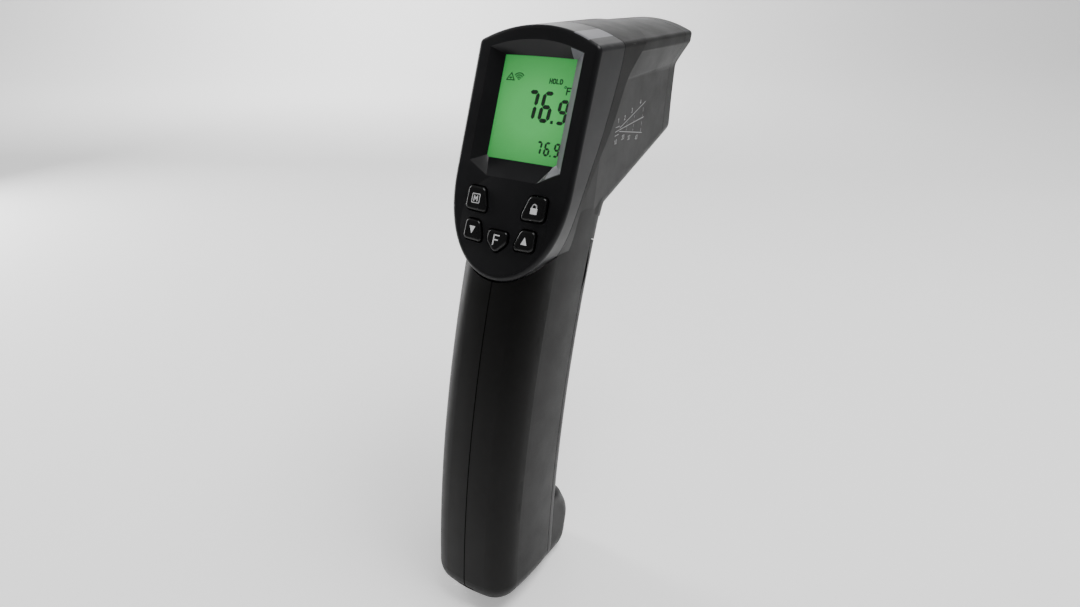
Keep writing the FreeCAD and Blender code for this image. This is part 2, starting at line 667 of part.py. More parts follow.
def make_keys():
    for name, (u, v) in KEYS.items():
        top = -pad_height(u, v) - KEY_PROUD
        cap = Part.Face(key_outline(name, 0, top)).extrude(Vector(0, FRONT_WALL + 0.6 - top, 0))
        crest = [e for e in cap.Edges if all(abs(p.Point.y - top) < 1e-4 for p in e.Vertexes)]
        cap = cap.makeFillet(KEY_EDGE, crest)
        flange = Part.Face(key_outline(name, KEY_FLANGE, FRONT_WALL + 0.6)).extrude(Vector(0, 0.9, 0))
        x, z = press_point(name)
        stem = block((x - 1.6, x + 1.6), (FRONT_WALL + 1.4, 8.6), (z - 1.6, z + 1.6), corner=0.5, along="y")
        parts[name] = placed(cap.fuse([flange, stem]), display_frame())


def make_display():
    frame = display_frame()
    depth = DISPLAY_DEPTH
    parts["display_window"] = block((-16.8, 16.8), (depth + 0.02, depth + 1.2), (-38.6, 2.7), frame)
    parts["lcd_glass"] = block((-16.2, 16.2), (depth + 1.4, depth + 3.2), (-38.0, 2.2), frame)
    outer = block((-18.6, 18.6), (6.1, 10.3), (-40.4, 4.6), frame)
    inner = block((-16.5, 16.5), (5.0, 11.0), (-38.3, 2.5), frame)
    parts["lcd_frame"] = outer.cut(inner)
    parts["backlight_panel"] = block((-16.2, 16.2), (7.6, 10.0), (-35.4, -0.4), frame)
    strips = [block((-15.0, 15.0), (7.45, 10.7), v, frame) for v in ((0.0, 2.0), (-38.0, -36.0))]
    parts["zebra_connectors"] = Part.makeCompound(strips)


def make_electronics():
    frame = display_frame()
    outline = [(18.8, 5.6), (18.8, -42.0), (13.8, -47.4), (13.8, -67.0)]
    outline += [(-u, v) for u, v in reversed(outline)]
    wire = Part.makePolygon([Vector(u, 10.8, v) for u, v in outline + outline[:1]])
    board = placed(Part.Face(wire).extrude(Vector(0, 1.6, 0)), frame)
    chip = block((-6.0, 6.0), (12.4, 14.2), (-26.0, -14.0), frame)
    parts["processor_chip"] = chip
    parts["buzzer"] = rod(5.0, frame.multVec(Vector(11.0, 12.45, -8.0)),
                          frame.multVec(Vector(11.0, 16.0, -8.0)))
    screws = []
    for u, v in BOARD_POSTS:
        board = board.cut(placed(post(u, v, SCREW_RADIUS, 9.0, 14.0), frame))
        screw = post(u, v, 2.0, 12.45, 14.0).fuse(post(u, v, 0.9, 7.0, 12.5))
        screws.append(placed(screw, frame))
    parts["main_board"] = board
    parts["board_screws"] = Part.makeCompound(screws)
    mat = block((-13.6, 13.6), (10.1, 10.75), (-66.8, -48.6), frame, 1.0, "y")
    domes = []
    for name in KEYS:
        u, v = press_point(name)
        cone = Part.makeCone(2.2, 1.6, 0.6, Vector(u, 10.15, v), Vector(0, -1, 0))
        domes.append(placed(cone, frame))
    hole = placed(post(*BOARD_POSTS[-1], POST_RADIUS + 0.3, 9.0, 12.0), frame)
    parts["keypad_mat"] = mat.fuse(domes).cut(hole)


def make_battery():
    width, depth, height = BATTERY
    frame = grip_frame(BATTERY_H)
    back = BATTERY_BACK
    body = block((-width / 2, width / 2), (back, back + depth), (-height / 2, height / 2), frame, 1.6)
    studs = []
    for side, radius in ((-1, 2.9), (1, 3.9)):
        foot = Vector(side * 6.35, back + depth / 2, height / 2)
        studs.append(rod(radius, frame.multVec(foot), frame.multVec(foot + Vector(0, 0, 2.0))))
    parts["battery"] = body.fuse(studs)
    low = height / 2 + 0.3
    cap = block((-13.0, 13.0), (back + 1.0, back + depth - 1.0), (low, low + 4.0), frame, 2.0)
    for side in (-1, 1):
        foot = Vector(side * 6.35, back + depth / 2, low - 0.1)
        cap = cap.cut(rod(4.1, frame.multVec(foot), frame.multVec(foot + Vector(0, 0, 2.2))))
    parts["battery_snap"] = cap


def heel_bulge():
    """The swelling at the foot of the door, lofted through rounded sections."""
    rear = DOOR_LINE - 3.0
    sections = []
    for f, h, side_inset in HEEL:
        half = GRIP_HALF - HEEL_INSET - side_inset
        corners = [Vector(half, f, h), Vector(-half, f, h), Vector(-half, rear, h), Vector(half, rear, h)]
        sections.append(rounded_wire(corners, [HEEL_CORNER, HEEL_CORNER, 1.0, 1.0]))
    return placed(Part.makeLoft(sections, True), grip_frame(0))


def make_battery_door():
    skin = grip_outside().common(door_zone(SEAM / 2)).cut(grip(WALL).common(above_base(FLOOR)))
    heel = heel_bulge().common(above_base(0.0)).common(door_zone(SEAM / 2))
    inner = grip(WALL).common(above_base(FLOOR))
    relief = block((-12.5, 12.5), (10.0, 31.0), (FLOOR + 0.5, 27.0), grip_frame(0), 3.0, "x")
    door = skin.fuse(heel.cut([inner, relief]))
    barrel_rod = hinge_rod(HINGE_BARREL, -GRIP_HALF + 0.6, GRIP_HALF - 0.6)
    door = door.fuse(barrel_rod.common(grip_outside()))
    pockets = []
    for side in (-1, 1):
        x = sorted((side * (HINGE_HALF + 0.2), side * (GRIP_HALF - WALL)))
        pockets.append(hinge_rod(HINGE_RELIEF, *x))
    pin_hole = hinge_rod(HINGE_PIN + 0.04, -HINGE_END - 0.5, HINGE_END + 0.5)
    door = door.cut(pockets + [pin_hole, trigger_slot(), finger_notch()])
    parts["battery_door"] = largest(door)
    parts["door_hinge_pin"] = hinge_rod(HINGE_PIN, -HINGE_END, HINGE_END)


# ---- nose and optics -------------------------------------------------------
def make_nose():
    outside = barrel().common(nose_line(0)).cut(nose_line(NOSE_DEPTH - SEAM / 2))
    hollow = barrel(WALL).common(nose_line(2.6))
    body = outside.cut(hollow)
    front = NOSE_FACE
    cone = Part.makeCone(10.9, 13.6, 4.4, at(0, front - 2.7, LENS_Z), Vector(0, 1, 0))
    collar = ring(13.4, 10.9, at(0, front - 5.4, LENS_Z), at(0, front - 2.5, LENS_Z))
    laser = rod(2.6, at(0, front - 8, LASER_Z), at(0, front + 8, LASER_Z))
    parts["nose_bezel"] = body.fuse(collar).cut([cone, laser])
    parts["laser_window"] = rod(2.5, at(0, front - 2.4, LASER_Z), at(0, front - 1.2, LASER_Z))
    parts["infrared_lens"] = rod(LENS_RADIUS, at(0, front - 8.4, LENS_Z), at(0, front - 6.4, LENS_Z))
    parts["lens_ring"] = ring(LENS_RADIUS, 9.2, at(0, front - 6.3, LENS_Z), at(0, front - 4.9, LENS_Z))
    tube = ring(TUBE_RADIUS, 11.4, at(0, 50.0, LENS_Z), at(0, front - 8.5, LENS_Z))
    seat = ring(TUBE_RADIUS, LENS_RADIUS + 0.1, at(0, front - 8.5, LENS_Z), at(0, front - 5.5, LENS_Z))
    stop = ring(TUBE_RADIUS, 9.4, at(0, front - 10.0, LENS_Z), at(0, front - 8.5, LENS_Z))
    back = ring(TUBE_RADIUS, 4.9, at(0, 48.4, LENS_Z), at(0, 50.0, LENS_Z))
    parts["optic_tube"] = tube.fuse([seat, stop, back])
    can = rod(4.6, at(0, 46.85, LENS_Z), at(0, 52.5, LENS_Z))
    pins = [rod(0.25, at(x, 45.0, LENS_Z), at(x, 48.0, LENS_Z)) for x in (-2.5, 2.5)]
    parts["thermopile_sensor"] = can.fuse(pins)
    board = block((-11.0, 11.0), (45.2, 46.8), (LENS_Z - 10.0, LENS_Z + 10.0),
                  Placement(DATUM, Rotation()))
    parts["sensor_board"] = board.cut([rod(0.3, at(x, 44.0, LENS_Z), at(x, 48.0, LENS_Z))
                                       for x in (-2.5, 2.5)])
    body = rod(LASER_RADIUS, at(0, 62.0, LASER_Z), at(0, front - 8.6, LASER_Z))
    nozzle = rod(2.4, at(0, front - 8.6, LASER_Z), at(0, front - 7.0, LASER_Z))
    parts["laser_module"] = body.fuse(nozzle)


# ---- trigger ---------------------------------------------------------------
def make_trigger():
    front = Part.BSplineCurve()
    front.interpolate([at(-TRIGGER_HALF, y, z) for y, z in TRIGGER_FRONT])
    start, end = at(-TRIGGER_HALF, *TRIGGER_FRONT[0]), at(-TRIGGER_HALF, *TRIGGER_FRONT[-1])
    spots = [end] + [at(-TRIGGER_HALF, y, z) for y, z in TRIGGER_BACK] + [start]
    runs = [Part.LineSegment(a, b).toShape() for a, b in zip(spots, spots[1:])]
    blade = Part.Face(Part.Wire([front.toShape()] + runs)).extrude(Vector(2 * TRIGGER_HALF, 0, 0))
    crest = [e for e in blade.Edges if e.Curve.TypeId == "Part::GeomBSplineCurve"]
    blade = blade.makeFillet(2.4, crest)
    left, right = (at(side * TRIGGER_HALF, *TRIGGER_PIVOT) for side in (-1, 1))
    hub = rod(4.2, left, right)
    boss = block((-2.0, 2.0), (13.9, 18.0), (-79.5, -74.5), Placement(DATUM, Rotation()))
    bore = rod(PIVOT_RADIUS + TRIGGER_FIT, left - Vector(1, 0, 0), right + Vector(1, 0, 0))
    spring_seat = rod(2.9, at(0, 10.0, -89.5), at(0, 19.5, -89.5))
    parts["trigger"] = blade.fuse([hub, boss]).cut([bore, spring_seat])
    parts["trigger_pin"] = rod(PIVOT_RADIUS, at(-10.8, *TRIGGER_PIVOT), at(10.8, *TRIGGER_PIVOT))
    coil = Part.makeHelix(1.9, 12.0, 2.1)
    section = Part.Wire(Part.makeCircle(0.3, Vector(2.1, 0, 0), Vector(0, 1, 0)))
    spring = Part.Wire(coil).makePipeShell([section], True, True)
    spring.rotate(Vector(0, 0, 0), X_AXIS, -90)
    spring.translate(at(0, 6.9, -89.5))
    parts["trigger_spring"] = spring
    body = block((-3.2, 3.2), (3.6, 10.8), (-83.4, -70.6), Placement(DATUM, Rotation()))
    parts["trigger_switch"] = body.cut(rod(1.6, at(0, 7.0, -77.0), at(0, 12.0, -77.0)))
    parts["switch_plunger"] = rod(1.5, at(0, 9.6, -77.0), at(0, 13.4, -77.0))


def make_tripod_bush():
    axis = base_frame().Rotation.multVec(Vector(0, 0, 1))
    outer = Part.makeCylinder(BUSH_OUTER, BUSH_LENGTH, Vector(0, 0, 0), axis)
    bore = Part.makeCylinder(BUSH_RADIUS, BUSH_LENGTH - 1.0, Vector(0, 0, 0), axis)
    parts["tripod_bush"] = outer.cut(bore)


def main():
    os.makedirs("parts", exist_ok=True)
    make_shells()
    make_case_screws()
    make_rear_bezel()
    make_keys()
    make_display()
    make_electronics()
    make_nose()
    make_trigger()
    make_battery()
    make_battery_door()
    make_tripod_bush()
    for name, shape in parts.items():
        shape.exportStep(f"parts/{name}.step")


main()
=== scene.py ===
import math

import bmesh
import bpy
from mathutils import Matrix, Vector
from mathutils.bvhtree import BVHTree


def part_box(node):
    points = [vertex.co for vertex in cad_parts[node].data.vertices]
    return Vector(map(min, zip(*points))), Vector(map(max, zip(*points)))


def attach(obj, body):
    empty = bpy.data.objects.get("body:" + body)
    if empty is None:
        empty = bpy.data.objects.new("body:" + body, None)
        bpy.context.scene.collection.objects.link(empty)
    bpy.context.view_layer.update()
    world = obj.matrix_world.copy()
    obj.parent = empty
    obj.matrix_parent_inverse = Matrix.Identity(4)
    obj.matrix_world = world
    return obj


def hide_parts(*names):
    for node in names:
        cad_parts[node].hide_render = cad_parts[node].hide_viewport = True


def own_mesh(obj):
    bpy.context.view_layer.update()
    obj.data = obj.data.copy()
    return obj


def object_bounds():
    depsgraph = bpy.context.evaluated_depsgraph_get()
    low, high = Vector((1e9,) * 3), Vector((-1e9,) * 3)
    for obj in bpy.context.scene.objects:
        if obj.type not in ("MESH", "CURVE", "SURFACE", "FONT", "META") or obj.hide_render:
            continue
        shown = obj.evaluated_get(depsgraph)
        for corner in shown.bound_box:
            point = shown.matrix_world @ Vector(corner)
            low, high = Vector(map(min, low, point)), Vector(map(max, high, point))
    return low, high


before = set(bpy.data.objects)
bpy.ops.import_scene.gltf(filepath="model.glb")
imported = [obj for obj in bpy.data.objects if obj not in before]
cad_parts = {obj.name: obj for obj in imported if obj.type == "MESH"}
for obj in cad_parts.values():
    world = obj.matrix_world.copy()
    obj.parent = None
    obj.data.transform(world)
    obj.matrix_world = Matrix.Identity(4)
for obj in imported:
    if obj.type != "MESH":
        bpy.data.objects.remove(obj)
CAD_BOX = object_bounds()
MM = 0.001
VIEW_AZIMUTH = 32.0

# Millimetres in the display frame.
RECESS_HALF = 20.5
RECESS_LENGTH = 43.0
LCD_HALF = 14.0
# Depth inside the face where the painted highlight on the recess wall starts.
PAINTED_HIGHLIGHT_START = 0.35
SEAM_HALF = 0.24

# The display frame of the CAD model: u right, d into the head, v up the tilted face.
DATUM = Vector((0, 0.0322, 0.2195))
FACE_TILT = math.radians(22.0)
DISPLAY = Matrix.Translation(DATUM) @ Matrix.Rotation(-FACE_TILT, 4, "X")


# ---- materials ---------------------------------------------------------------
def new_material(name, color, roughness, metallic=0.0, specular=0.5):
    """A principled material and the tools to wire nodes into it."""
    mat = bpy.data.materials.new(name)
    mat.use_nodes = True
    shader = mat.node_tree.nodes["Principled BSDF"]
    shader.inputs["Base Color"].default_value = (*color, 1)
    shader.inputs["Roughness"].default_value = roughness
    shader.inputs["Metallic"].default_value = metallic
    shader.inputs["Specular IOR Level"].default_value = specular
    return mat, mat.node_tree, shader


def noise(tree, scale, detail=3.0, rough=0.5, stretch=(1, 1, 1)):
    """Object-space noise; scale is in cycles per metre."""
    nodes, links = tree.nodes, tree.links
    place = nodes.new("ShaderNodeTexCoord")
    mapping = nodes.new("ShaderNodeMapping")
    mapping.inputs["Scale"].default_value = stretch
    texture = nodes.new("ShaderNodeTexNoise")
    texture.inputs["Scale"].default_value = scale
    texture.inputs["Detail"].default_value = detail
    texture.inputs["Roughness"].default_value = rough
    links.new(place.outputs["Object"], mapping.inputs["Vector"])
    links.new(mapping.outputs["Vector"], texture.inputs["Vector"])
    return texture.outputs["Fac"]


def ramp(tree, value, low, high, start, end):
    """Maps a 0..1 value between two colours or two grey levels."""
    node = tree.nodes.new("ShaderNodeValToRGB")
    node.color_ramp.elements[0].position = start
    node.color_ramp.elements[1].position = end
    node.color_ramp.elements[0].color = (*low, 1)
    node.color_ramp.elements[1].color = (*high, 1)
    tree.links.new(value, node.inputs["Fac"])
    return node.outputs["Color"]


def grey_ramp(tree, value, low, high, start=0.3, end=0.7):
    return ramp(tree, value, (low,) * 3, (high,) * 3, start, end)


def add_bump(tree, shader, height, strength, distance):
    bump = tree.nodes.new("ShaderNodeBump")
    bump.inputs["Strength"].default_value = strength
    bump.inputs["Distance"].default_value = distance
    tree.links.new(height, bump.inputs["Height"])
    previous = shader.inputs["Normal"].links
    if previous:
        tree.links.new(previous[0].from_socket, bump.inputs["Normal"])
    tree.links.new(bump.outputs["Normal"], shader.inputs["Normal"])


def plastic(name, dark, light, rough_low, rough_high, grain=2600, depth=0.00004, specular=0.5):
    """Moulded plastic: spark-eroded grain, faint clouding and hand-polished roughness."""
    mat, tree, shader = new_material(name, dark, rough_high, specular=specular)
    clouds = noise(tree, 38, 4.0)
    tree.links.new(ramp(tree, clouds, dark, light, 0.32, 0.7), shader.inputs["Base Color"])
    handling = noise(tree, 90, 5.0, 0.6)
    tree.links.new(grey_ramp(tree, handling, rough_low, rough_high), shader.inputs["Roughness"])
    add_bump(tree, shader, noise(tree, grain, 2.0, 0.6), 0.35, depth)
    return mat


def math_node(tree, operation, value, constant=0.0):
    """One linked value, worked on with a constant."""
    node = tree.nodes.new("ShaderNodeMath")
    node.operation = operation
    node.inputs[1].default_value = constant
    tree.links.new(value, node.inputs[0])
    return node.outputs["Value"]


def face_offset(tree, axis, origin):
    """Signed distance in millimetres from a point, along an axis."""
    nodes, links = tree.nodes, tree.links
    place = nodes.new("ShaderNodeTexCoord")
    dot = nodes.new("ShaderNodeVectorMath")
    dot.operation = "DOT_PRODUCT"
    dot.inputs[1].default_value = [c / MM for c in axis]
    links.new(place.outputs["Object"], dot.inputs[0])
    return math_node(tree, "SUBTRACT", dot.outputs["Value"], axis.dot(origin) / MM)


def painted_highlight_on_wall(mat):
    """Paints the right wall of the display recess a lighter grey: a painted highlight for the light the
    wall catches.
    """
    tree = mat.node_tree
    shader = tree.nodes["Principled BSDF"]
    turn = DISPLAY.to_3x3()
    across = face_offset(tree, turn @ Vector((1, 0, 0)), DATUM)
    inward = face_offset(tree, turn @ Vector((0, 1, 0)), DATUM)
    upward = face_offset(tree, turn @ Vector((0, 0, 1)), DATUM)
    tests = [math_node(tree, "LESS_THAN", across, RECESS_HALF),
             math_node(tree, "GREATER_THAN", across, LCD_HALF),
             math_node(tree, "GREATER_THAN", inward, PAINTED_HIGHLIGHT_START),
             math_node(tree, "GREATER_THAN", upward, -RECESS_LENGTH)]
    mask = tests[0]
    for test in tests[1:]:
        both = tree.nodes.new("ShaderNodeMath")
        both.operation = "MULTIPLY"
        tree.links.new(mask, both.inputs[0])
        tree.links.new(test, both.inputs[1])
        mask = both.outputs["Value"]
    tint = tree.nodes.new("ShaderNodeMix")
    tint.data_type = "RGBA"
    base = shader.inputs["Base Color"].links[0].from_socket
    plain_tint, highlight_tint = (sock for sock in tint.inputs if sock.type == "RGBA")
    tree.links.new(mask, tint.inputs["Factor"])
    tree.links.new(base, plain_tint)
    # Painted highlight: this lighter base colour stands in for the light on the wall.
    highlight_tint.default_value = (0.14, 0.14, 0.155, 1)
    result = next(sock for sock in tint.outputs if sock.type == "RGBA")
    tree.links.new(result, shader.inputs["Base Color"])


def seam_shadow(mat):
    """Darkens the line where the two shells meet, as the gap's depth does."""
    tree = mat.node_tree
    shader = tree.nodes["Principled BSDF"]
    specular = shader.inputs["Specular IOR Level"]
    off = math_node(tree, "ABSOLUTE", face_offset(tree, Vector((1, 0, 0)), Vector((0, 0, 0))))
    clear = math_node(tree, "GREATER_THAN", off, SEAM_HALF)
    tree.links.new(math_node(tree, "MULTIPLY", clear, specular.default_value), specular)


def brushed_metal(name, color, roughness, stretch):
    mat, tree, shader = new_material(name, color, roughness, metallic=1.0)
    lines = noise(tree, 900, 3.0, 0.6, stretch)
    tree.links.new(grey_ramp(tree, lines, roughness * 0.7, roughness * 1.3), shader.inputs["Roughness"])
    darker = tuple(c * 0.75 for c in color)
    tree.links.new(ramp(tree, lines, darker, color, 0.3, 0.7), shader.inputs["Base Color"])
    add_bump(tree, shader, lines, 0.2, 0.00002)
    return mat


def clear_plastic(name, color, roughness, ior=1.46):
    mat, tree, shader = new_material(name, color, roughness)
    shader.inputs["Transmission Weight"].default_value = 1.0
    shader.inputs["IOR"].default_value = ior
    smear = noise(tree, 60, 3.0)
    tree.links.new(grey_ramp(tree, smear, roughness, roughness * 2.2 + 0.01), shader.inputs["Roughness"])
    return mat


def backlit_glass(name, edge, middle, strength):
    """The liquid crystal cell lit from behind: a little brighter in the middle."""
    mat, tree, shader = new_material(name, middle, 0.35)
    nodes, links = tree.nodes, tree.links
    low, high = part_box("lcd_glass")
    centre = (low + high) / 2
    place = nodes.new("ShaderNodeTexCoord")
    mapping = nodes.new("ShaderNodeMapping")
    reach = (high.x - low.x) * 1.1, 0.05, (high.z - low.z) * 0.85
    mapping.inputs["Location"].default_value = [-c / r for c, r in zip(centre, reach)]
    mapping.inputs["Scale"].default_value = [1 / r for r in reach]
    glow = nodes.new("ShaderNodeTexGradient")
    glow.gradient_type = "SPHERICAL"
    links.new(place.outputs["Object"], mapping.inputs["Vector"])
    links.new(mapping.outputs["Vector"], glow.inputs["Vector"])
    tint = ramp(tree, glow.outputs["Fac"], edge, middle, 0.1, 0.75)
    links.new(tint, shader.inputs["Emission Color"])
    links.new(tint, shader.inputs["Base Color"])
    shader.inputs["Emission Strength"].default_value = strength
    grid = noise(tree, 5200, 1.0)
    add_bump(tree, shader, grid, 0.05, 0.00001)
    return mat


def circuit_board(name):
    mat, tree, shader = new_material(name, (0.02, 0.13, 0.05), 0.35)
    traces = tree.nodes.new("ShaderNodeTexBrick")
    traces.inputs["Scale"].default_value = 260
    traces.inputs["Mortar Size"].default_value = 0.03
    traces.inputs["Color1"].default_value = (0.015, 0.13, 0.045, 1)
    traces.inputs["Color2"].default_value = (0.02, 0.16, 0.06, 1)
    traces.inputs["Mortar"].default_value = (0.05, 0.3, 0.1, 1)
    place = tree.nodes.new("ShaderNodeTexCoord")
    tree.links.new(place.outputs["Object"], traces.inputs["Vector"])
    tree.links.new(traces.outputs["Color"], shader.inputs["Base Color"])
    return mat


def printed_ink(name, color, roughness=0.5):
    mat, tree, shader = new_material(name, color, roughness)
    wear = noise(tree, 2400, 3.0, 0.7)
    faded = tuple(c * 0.82 for c in color)
    tree.links.new(ramp(tree, wear, faded, color, 0.35, 0.55), shader.inputs["Base Color"])
    return mat


CASE = plastic("case_plastic", (0.0034, 0.0033, 0.0031), (0.0046, 0.0044, 0.0042), 0.38, 0.46,
               specular=0.14)
BEZEL = plastic("bezel_plastic", (0.0058, 0.0058, 0.0066), (0.0078, 0.0078, 0.0088), 0.30, 0.38, 3400,
                0.00002, 0.22)
DOOR = plastic("door_plastic", (0.0032, 0.0031, 0.0030), (0.0044, 0.0042, 0.0040), 0.40, 0.48,
               specular=0.14)
KEY = plastic("key_rubber", (0.0022, 0.0022, 0.0024), (0.0036, 0.0036, 0.0038), 0.24, 0.32, 4200,
              0.00001, 0.3)
TRIGGER = plastic("trigger_plastic", (0.0035, 0.0035, 0.0035), (0.0055, 0.0055, 0.0055), 0.35, 0.45,
                  specular=0.22)
DULL_BLACK = plastic("optic_black", (0.004, 0.004, 0.004), (0.007, 0.007, 0.007), 0.6, 0.75)
EPOXY = plastic("moulded_epoxy", (0.012, 0.012, 0.012), (0.02, 0.02, 0.02), 0.5, 0.65)
SILICONE = plastic("silicone", (0.18, 0.18, 0.19), (0.24, 0.24, 0.25), 0.5, 0.65)
WHITE = plastic("white_plastic", (0.6, 0.6, 0.58), (0.68, 0.68, 0.66), 0.4, 0.5)
DIFFUSER = plastic("diffuser", (0.55, 0.7, 0.5), (0.65, 0.78, 0.6), 0.4, 0.5)
STEEL = brushed_metal("steel", (0.56, 0.56, 0.57), 0.3, (1, 1, 0.05))
BRASS = brushed_metal("brass", (0.62, 0.45, 0.2), 0.32, (1, 1, 0.1))
SLEEVE = plastic("battery_sleeve", (0.02, 0.025, 0.04), (0.03, 0.035, 0.05), 0.25, 0.35)
WINDOW = clear_plastic("window", (1.0, 1.0, 1.0), 0.01)
RED_GLASS = clear_plastic("laser_glass", (0.75, 0.12, 0.1), 0.02)
LENS = clear_plastic("coated_lens", (0.45, 0.38, 0.5), 0.03, 1.9)
LCD = backlit_glass("lcd_cell", (0.020, 0.26, 0.040), (0.072, 0.50, 0.115), 0.82)
BOARD = circuit_board("board")
# The bezel's recess wall gets a painted highlight.
painted_highlight_on_wall(BEZEL)
seam_shadow(CASE)
SEGMENT = printed_ink("lcd_segment", (0.001, 0.024, 0.005), 0.8)
LEGEND = printed_ink("legend_white", (0.75, 0.75, 0.76))
DIAGRAM = printed_ink("diagram_grey", (0.30, 0.30, 0.30))

NODE_MATERIALS = {
    "right_shell": CASE, "left_shell": CASE, "rear_bezel": BEZEL, "nose_bezel": CASE,
    "battery_door": DOOR, "trigger": TRIGGER, "mode_key": KEY, "lock_key": KEY, "down_key": KEY,
    "up_key": KEY, "function_key": KEY, "display_window": WINDOW, "lcd_glass": LCD,
    "lcd_frame": DULL_BLACK, "backlight_panel": DIFFUSER, "zebra_connectors": SILICONE,
    "main_board": BOARD, "sensor_board": BOARD, "processor_chip": EPOXY, "buzzer": EPOXY,
    "keypad_mat": SILICONE, "laser_window": RED_GLASS, "infrared_lens": LENS,
    "lens_ring": DULL_BLACK, "optic_tube": DULL_BLACK, "thermopile_sensor": STEEL,
    "laser_module": BRASS, "trigger_pin": STEEL, "trigger_spring": STEEL,
    "trigger_switch": EPOXY, "switch_plunger": WHITE, "battery": SLEEVE, "battery_snap": EPOXY,
    "door_hinge_pin": STEEL, "case_screws": STEEL, "board_screws": STEEL, "tripod_bush": BRASS,
}
for node_name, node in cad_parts.items():
    for material_slot in node.material_slots:
        material_slot.material = NODE_MATERIALS[node_name]


# ---- flat artwork ------------------------------------------------------------
def piece(name, mesh, material, body):
    obj = bpy.data.objects.new(name, mesh)
    bpy.context.scene.collection.objects.link(obj)
    obj.data.materials.append(material)
    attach(obj, body)
    return obj


def add_polygon(bm, points, depth):
    """A flat plate: points are (u, v) in millimetres, depth its thickness."""
    front = [bm.verts.new((u, 0, v)) for u, v in points]
    back = [bm.verts.new((u, depth, v)) for u, v in points]
    bm.faces.new(front)
    bm.faces.new(list(reversed(back)))
    count = len(points)
    for i in range(count):
        bm.faces.new([front[(i + 1) % count], front[i], back[i], back[(i + 1) % count]])


def add_stroke(bm, a, b, width, depth):
    """A straight stroke with square ends."""
    a, b = Vector(a), Vector(b)
    run = (b - a).normalized()
    side = Vector((-run.y, run.x)) * width / 2
    run = run * width / 2
    add_polygon(bm, [a - run - side, b + run - side, b + run + side, a - run + side], depth)


def add_path(bm, points, width, depth):
    for a, b in zip(points, points[1:]):
        add_stroke(bm, a, b, width, depth)


def add_ring(bm, centre, radius, width, depth, steps=20):
    inner, outer = radius - width / 2, radius + width / 2
    for i in range(steps):
        a, b = (math.tau * k / steps for k in (i, i + 1))
        corners = [(r * math.cos(t), r * math.sin(t)) for r, t in
                   ((inner, a), (outer, a), (outer, b), (inner, b))]
        add_polygon(bm, [(centre[0] + x, centre[1] + z) for x, z in corners], depth)


SEGMENTS = {"6": "acdefg", "7": "abc", "9": "abcdfg"}


def add_digit(bm, digit, origin, width, height, stroke, slant, depth):
    """One slanted seven-segment digit; origin is its lower left corner."""
    gap = stroke * 0.08
    left, right, low, mid, high = 0.0, width, 0.0, height / 2, height
    half = stroke / 2
    flat = {"a": high - half, "g": mid, "d": low + half}
    upright = {"f": (left + half, mid, high), "b": (right - half, mid, high),
               "e": (left + half, low, mid), "c": (right - half, low, mid)}

    def lean(points):
        return [(origin[0] + u + slant * v, origin[1] + v) for u, v in points]

    for name in SEGMENTS[digit]:
        if name in flat:
            v = flat[name]
            a, b = left + half + gap, right - half - gap
            points = [(a, v), (a + half, v - half), (b - half, v - half), (b, v),
                      (b - half, v + half), (a + half, v + half)]
        else:
            u, a, b = upright[name]
            a, b = a + gap + (half if a == low else 0), b - gap - (half if b == high else 0)
            points = [(u, a), (u + half, a + half), (u + half, b - half), (u, b),
                      (u - half, b - half), (u - half, a + half)]
        add_polygon(bm, lean(points), depth)


# Strokes of each letter, one unit high.
OVAL = [(0.1, 0), (0.5, 0), (0.6, 0.2), (0.6, 0.8), (0.5, 1), (0.1, 1), (0, 0.8), (0, 0.2), (0.1, 0)]
LETTERS = {
    "H": [[(0, 0), (0, 1)], [(0.6, 0), (0.6, 1)], [(0, 0.5), (0.6, 0.5)]],
    "O": [OVAL],
    "L": [[(0, 1), (0, 0), (0.55, 0)]],
    "D": [[(0, 0), (0, 1), (0.38, 1), (0.6, 0.75), (0.6, 0.25), (0.38, 0), (0, 0)]],
    "F": [[(0, 0), (0, 1), (0.6, 1)], [(0, 0.52), (0.48, 0.52)]],
    "M": [[(0, 0), (0, 1), (0.38, 0.35), (0.76, 1), (0.76, 0)]],
    "0": [OVAL],
    "1": [[(0.1, 0.75), (0.35, 1), (0.35, 0)]],
    "2": [[(0, 0.8), (0.15, 1), (0.5, 1), (0.6, 0.8), (0.6, 0.6), (0, 0), (0.6, 0)]],
    "3": [[(0, 0.9), (0.15, 1), (0.5, 1), (0.6, 0.75), (0.3, 0.53), (0.6, 0.3), (0.5, 0), (0, 0.08)]],
    "4": [[(0.45, 0), (0.45, 1), (0, 0.3), (0.6, 0.3)]],
}


def add_text(bm, text, origin, height, width, depth, pitch=0.86):
    u, v = origin
    for letter in text:
        for path in LETTERS[letter]:
            add_path(bm, [(u + x * height, v + z * height) for x, z in path], width, depth)
        u += height * pitch


def display_mesh(name, bm, d):
    """Turns artwork in millimetres into a mesh lying at depth d of the display frame."""
    bmesh.ops.recalc_face_normals(bm, faces=bm.faces)
    mesh = bpy.data.meshes.new(name)
    bm.to_mesh(mesh)
    bm.free()
    mesh.transform(DISPLAY @ Matrix.Translation((0, d * MM, 0)) @ Matrix.Scale(MM, 4))
    return mesh


LCD_FACE = 5.6
INK = 0.04
INK_GAP = 0.03
LCD_INK = LCD_FACE - INK - INK_GAP
LEGEND_SINK = 0.005


